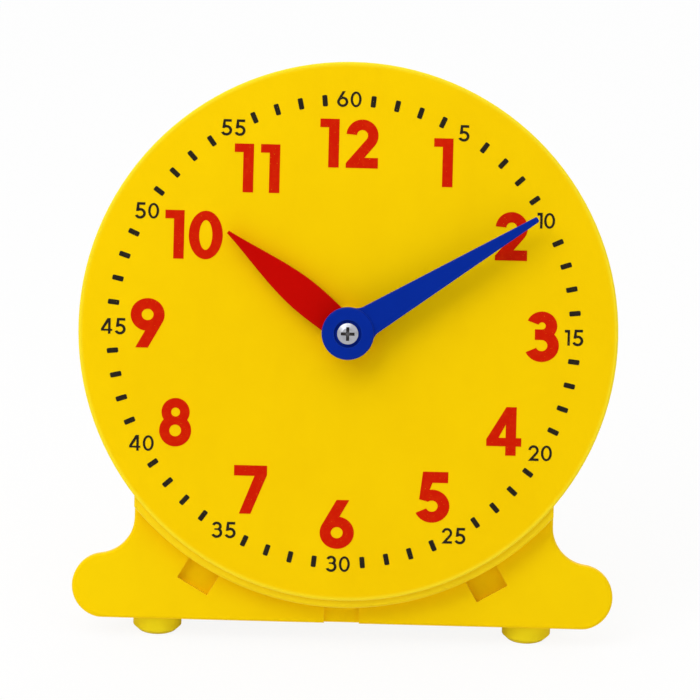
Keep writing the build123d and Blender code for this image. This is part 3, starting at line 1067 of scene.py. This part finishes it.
@dataclass
class Stand(SubAssembly):
    """The leaning plate with its floor plate, on four soft feet."""

    plate: str = "stand"
    feet: Sequence[str] = (
        "foot_front_left", "foot_front_right", "foot_rear_left", "foot_rear_right"
    )

    def build(self) -> list[Item]:
        """Dresses the plate in hard plastic and the feet in soft plastic."""
        feet = [dress(foot, FOOT_PLASTIC) for foot in self.feet]
        return [dress(self.plate, STAND_PLASTIC), *feet]


@dataclass
class Case(SubAssembly):
    """The dial with its drum, the bush in its middle and the screwed-on rear cover."""

    dial: str = "dial_shell"
    cover: str = "rear_cover"
    bush: str = "dial_bush"
    screws: str = "cover_screws"

    def build(self) -> list[Item]:
        """Dresses the dial and the cover in yellow, the bush in white and the screws in steel."""
        shells = [dress(self.dial, DIAL_PLASTIC), dress(self.cover, YELLOW_PLASTIC)]
        return shells + [dress(self.bush, GEAR_PLASTIC), dress(self.screws, SCREW_STEEL)]


@dataclass
class GearTrain(SubAssembly):
    """The gears between the two hands, with their shafts and washers."""

    gears: Sequence[str] = ("hour_wheel", "minute_pinion", "idler_gear")
    arbor: str = "minute_arbor"
    steel: Sequence[str] = ("idler_pin", "idler_retainer", "friction_washer")

    def build(self) -> list[Item]:
        """Dresses the gears in white plastic, the arbor in brass and the rest in steel.

        Returns:
            The pieces.
        """
        gears = [dress(gear, GEAR_PLASTIC) for gear in self.gears]
        steel = [dress(part, SCREW_STEEL) for part in self.steel]
        return [*gears, dress(self.arbor, ARBOR_BRASS), *steel]


@dataclass
class Hands(SubAssembly):
    """The two hands with the washer between them and the screw that holds them."""

    hour: str = "hour_hand"
    minute: str = "minute_hand"
    spacer: str = "hand_spacer"
    screw: str = "hand_screw"

    def build(self) -> list[Item]:
        """Dresses the hour hand in red, the minute hand in blue, and the small parts."""
        hands = [dress(self.hour, RED_PLASTIC), dress(self.minute, BLUE_PLASTIC)]
        return hands + [dress(self.spacer, GEAR_PLASTIC), dress(self.screw, SCREW_STEEL)]


@dataclass
class DialPrint(SubAssembly):
    """The printed hour figures, minute figures and minute marks of the dial.

    The middles of the hour figures are in millimetres, right of and above the print's middle.
    """

    body: str = "case"
    ink_below: float = 0.02 * MM
    ink_above: float = 0.05 * MM
    shift: Point = (-0.85 * MM, 0.0)
    mark_radius: float = 42.95 * MM
    mark_length: float = 2.1 * MM
    mark_width: float = 0.93 * MM
    mark_corner: float = 0.22 * MM
    corner_segments: int = 3
    hour_height: float = 9.0 * MM
    minute_height: float = 2.9 * MM
    minute_reach: Point = (42.65 * MM, 43.1 * MM)
    figure_gap: float = 0.145
    tight_pair: str = "10"
    tight_gap: float = 0.095
    hour_places: Mapping[str, Point] = field(
        default_factory=lambda: {
            "12": (0.15, 34.9), "1": (17.65, 31.8), "2": (30.6, 18.5),
            "3": (36.8, 0.05), "4": (30.15, -17.65), "5": (17.2, -30.25),
            "6": (-0.35, -35.75), "7": (-16.6, -29.7), "8": (-30.75, -17.55),
            "9": (-36.35, 0.75), "10": (-28.15, 17.3), "11": (-16.75, 29.9),
        }
    )

    @property
    def ink_middle(self) -> float:
        """The level of the ink's middle over the dial's face."""
        return (self.ink_above - self.ink_below) / 2

    @property
    def ink_thickness(self) -> float:
        """The ink's whole thickness."""
        return self.ink_above + self.ink_below

    def print_frame(self) -> Matrix:
        """The print's frame: x right, y towards twelve, z out of the face, a little off the hub.

        Returns:
            The frame in the world.
        """
        joint = dial_joint()
        out = -Vector(joint["axis"]).normalized()
        across = Vector((1.0, 0.0, 0.0))
        turn = Matrix((across, out.cross(across), out)).transposed()
        hub = Matrix.Translation(Vector(joint["pos_m"])) @ turn.to_4x4()
        return hub @ Matrix.Translation((*self.shift, 0.0))

    def print_numbers(
        self, name: str, weight: Weight, height: float, places: Mapping[str, Point]
    ) -> Item:
        """Prints a set of numbers as one piece.

        Args:
            name: The piece's name.
            weight: The figures' stroke.
            height: The figures' height.
            places: The middle of each number on the dial.

        Returns:
            The piece.
        """
        dial = self.print_frame()
        figures = Figures(weight)
        models = {figure: figures.model(figure) for figure in sorted(set("".join(places)))}
        widths = {
            figure: max(vertex.co.x for vertex in item.data.vertices)
            for figure, item in models.items()
        }
        size = Matrix.Diagonal((height, height, self.ink_thickness, 1.0))
        copies = []
        for text, (x, y) in places.items():
            gap = self.tight_gap if text == self.tight_pair else self.figure_gap
            total = sum(widths[figure] for figure in text) + gap * (len(text) - 1)
            left = x - height * total / 2
            for figure in text:
                corner = Vector((left, y - height / 2, self.ink_middle))
                copies.append(copy_to(models[figure], dial @ Matrix.Translation(corner) @ size))
                left += height * (widths[figure] + gap)
        for item in models.values():
            bpy.data.objects.remove(item)
        return join(copies, name)

    def minute_places(self) -> dict[str, Point]:
        """The middles of the minute numbers, in the ring of marks.

        Returns:
            The middle of each number on the dial.
        """
        places = {}
        for minute in range(NUMBER_STEP, MINUTES + 1, NUMBER_STEP):
            angle = math.radians(MINUTE_TURN * minute)
            across, up = self.minute_reach
            places[str(minute)] = (across * math.sin(angle), up * math.cos(angle))
        return places

    def mark(self) -> Item:
        """Models one minute mark, a short bar with round corners, at the origin.

        Returns:
            The mark.
        """
        bpy.ops.object.select_all(action="DESELECT")
        bpy.ops.mesh.primitive_cube_add(size=1.0)
        item = bpy.context.view_layer.objects.active
        with edit_mode():
            bpy.ops.mesh.select_all(action="SELECT")
            size = (self.mark_width, self.mark_length, self.ink_thickness)
            bpy.ops.transform.resize(value=size)
            bpy.ops.mesh.select_mode(type="EDGE")
        upright = self.ink_thickness / 2
        pick_edges(item.data, lambda ends: abs(ends[1].z - ends[0].z) > upright)
        with edit_mode():
            bpy.ops.mesh.bevel(offset=self.mark_corner, segments=self.corner_segments)
        close_mesh(item)
        return item

    def minute_marks(self) -> Item:
        """Prints the marks between the minute numbers as one piece.

        Returns:
            The piece.
        """
        dial = self.print_frame()
        model = self.mark()
        out = Matrix.Translation((0.0, self.mark_radius, self.ink_middle))
        minutes = [minute for minute in range(MINUTES) if minute % NUMBER_STEP]
        turns = [Matrix.Rotation(math.radians(-MINUTE_TURN * m), 4, "Z") for m in minutes]
        copies = [copy_to(model, dial @ turn @ out) for turn in turns]
        bpy.data.objects.remove(model)
        return join(copies, "minute_marks")

    def build(self) -> list[Item]:
        """Prints the dial in its inks and lets it ride on the case.

        Returns:
            The pieces.
        """
        hours = {text: (x * MM, y * MM) for text, (x, y) in self.hour_places.items()}
        minutes = self.minute_places()
        pieces = [
            self.print_numbers("hour_figures", Weight.BOLD, self.hour_height, hours),
            self.print_numbers("minute_figures", Weight.LIGHT, self.minute_height, minutes),
            self.minute_marks(),
        ]
        paint(pieces[:1], RED_INK)
        paint(pieces[1:], BLACK_INK)
        for piece in pieces:
            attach(piece, self.body)
        return pieces


@dataclass(frozen=True)
class Lamp:
    """A square soft lamp."""

    name: str
    place: Place
    size: float
    power: float

    def aim(self, target: Place) -> Item:
        """Adds the lamp to the scene.

        Args:
            target: What it points at.

        Returns:
            The lamp.
        """
        data = bpy.data.lights.new(self.name, "AREA")
        data.size = self.size
        data.energy = self.power
        item = bpy.data.objects.new(self.name, data)
        bpy.context.scene.collection.objects.link(item)
        item.location = self.place
        item.rotation_mode = "QUATERNION"
        item.rotation_quaternion = (Vector(target) - Vector(self.place)).to_track_quat("-Z", "Y")
        return item


@dataclass
class Studio(SubAssembly):
    """A pale floor, soft lamps, white surroundings and the camera."""

    floor_reach: float = 3.0
    floor_level: float = -0.02 * MM
    floor_colour: Colour = (0.9, 0.9, 0.9)
    floor_shadow: float = 0.1
    sweep_height: float = 2.0
    sweep_round: float = 0.8
    sweep_segments: int = 12
    surroundings: float = 0.57
    target: Place = (0.00035, -0.004, 0.0523)
    azimuth: float = 0.8
    elevation: float = 20.5
    roll: float = 1.2
    distance: float = 1.65
    lens: float = 457.0
    sensor: float = 36.0
    clip: Span = (0.05, 20.0)
    lamps: Sequence[Lamp] = (
        Lamp("key_lamp", (-0.42, -0.42, 0.6), size=0.46, power=1.7),
        Lamp("top_lamp", (-0.04, -0.12, 0.6), size=0.5, power=1.0),
        Lamp("left_lamp", (-0.8, 0.45, 0.4), size=0.5, power=0.7),
        Lamp("right_lamp", (0.8, 0.45, 0.4), size=0.5, power=0.7),
        Lamp("back_lamp", (0.1, 0.85, 0.6), size=0.6, power=1.5),
    )

    def white_for_eye(self, graph: Graph) -> Value:
        """A mask of what the camera sees directly, in metal or through glass.

        Args:
            graph: The node tree of the floor's material or of the world.

        Returns:
            The mask.
        """
        path = graph.node("ShaderNodeLightPath").outputs
        seen = Value(graph, path["Is Camera Ray"]) + Value(graph, path["Is Glossy Ray"])
        return (seen + Value(graph, path["Is Transmission Ray"])).between(0.0, 1.0)

    def floor_material(self) -> Material:
        """White for the eye, with a share of matte floor that takes the clock's shadow.

        Returns:
            The material.
        """
        graph = Graph(bpy.data.materials.new("pale_floor"))
        matte = graph.node("ShaderNodeBsdfDiffuse", None, {"Color": self.floor_colour}).outputs[0]
        glow = {"Color": WHITE, "Strength": 1.0}
        white = graph.node("ShaderNodeEmission", None, glow).outputs[0]
        share = self.white_for_eye(graph) * (1.0 - self.floor_shadow)
        blend = graph.node("ShaderNodeMixShader", None, {0: share, 1: matte, 2: white}).outputs[0]
        graph.node("ShaderNodeOutputMaterial", None, {"Surface": blend})
        return graph.owner

    def floor(self) -> Item:
        """Models the floor as a plane whose back edge sweeps up, and paints it.

        Returns:
            The floor.
        """
        bpy.ops.object.select_all(action="DESELECT")
        middle = (0.0, 0.0, self.floor_level)
        bpy.ops.mesh.primitive_plane_add(size=2 * self.floor_reach, location=middle)
        item = bpy.context.view_layer.objects.active
        item.name = "studio_floor"
        pick_edges(item.data, lambda ends: all(end.y > 0 for end in ends))
        with edit_mode():
            bpy.ops.mesh.select_mode(type="EDGE")
            lift = {"value": (0.0, 0.0, self.sweep_height)}
            bpy.ops.mesh.extrude_region_move(TRANSFORM_OT_translate=lift)
        low = self.sweep_round
        pick_edges(item.data, lambda ends: all(end.y > 0 and end.z < low for end in ends))
        with edit_mode():
            bpy.ops.mesh.bevel(offset=self.sweep_round, segments=self.sweep_segments)
        item.data.materials.append(self.floor_material())
        return item

    def surround(self) -> None:
        """Lights the scene evenly from all round, with white for the eye."""
        world = bpy.data.worlds.new("white_surroundings")
        bpy.context.scene.world = world
        graph = Graph(world)
        eye = self.white_for_eye(graph)
        strength = self.surroundings + eye * (1.0 - self.surroundings)
        sockets = {"Color": WHITE, "Strength": strength}
        sky = graph.node("ShaderNodeBackground", None, sockets).outputs[0]
        graph.node("ShaderNodeOutputWorld", None, {"Surface": sky})

    def camera(self) -> Item:
        """Sets the camera at the photo's viewing angle.

        Returns:
            The camera.
        """
        data = bpy.data.cameras.new("photo_camera")
        data.lens = self.lens
        data.sensor_width = self.sensor
        data.clip_start, data.clip_end = self.clip
        item = bpy.data.objects.new("photo_camera", data)
        bpy.context.scene.collection.objects.link(item)
        turn, rise = math.radians(self.azimuth), math.radians(self.elevation)
        level = math.cos(rise)
        back = Vector((math.sin(turn) * level, -math.cos(turn) * level, math.sin(rise)))
        item.location = Vector(self.target) + back * self.distance
        aim = (-back).to_track_quat("-Z", "Y").to_matrix().to_4x4()
        item.rotation_euler = (aim @ Matrix.Rotation(math.radians(self.roll), 4, "Z")).to_euler()
        bpy.context.scene.camera = item
        return item

    def build(self) -> list[Item]:
        """Sets up the floor, the light and the camera.

        Returns:
            The floor, the lamps and the camera.
        """
        bpy.context.scene.view_settings.view_transform = "Standard"
        self.surround()
        lamps = [lamp.aim(self.target) for lamp in self.lamps]
        return [self.floor(), *lamps, self.camera()]


def main() -> None:
    """Dresses the clock, prints its dial, sets up the studio and logs each piece."""
    logging.basicConfig(level=logging.INFO, format="%(name)s: %(message)s")
    for group in (Stand(), Case(), GearTrain(), Hands(), DialPrint(), Studio()):
        for piece in group.build():
            LOG.info("%s: %s", type(group).__name__, piece.name)


if __name__ == "__main__":
    main()
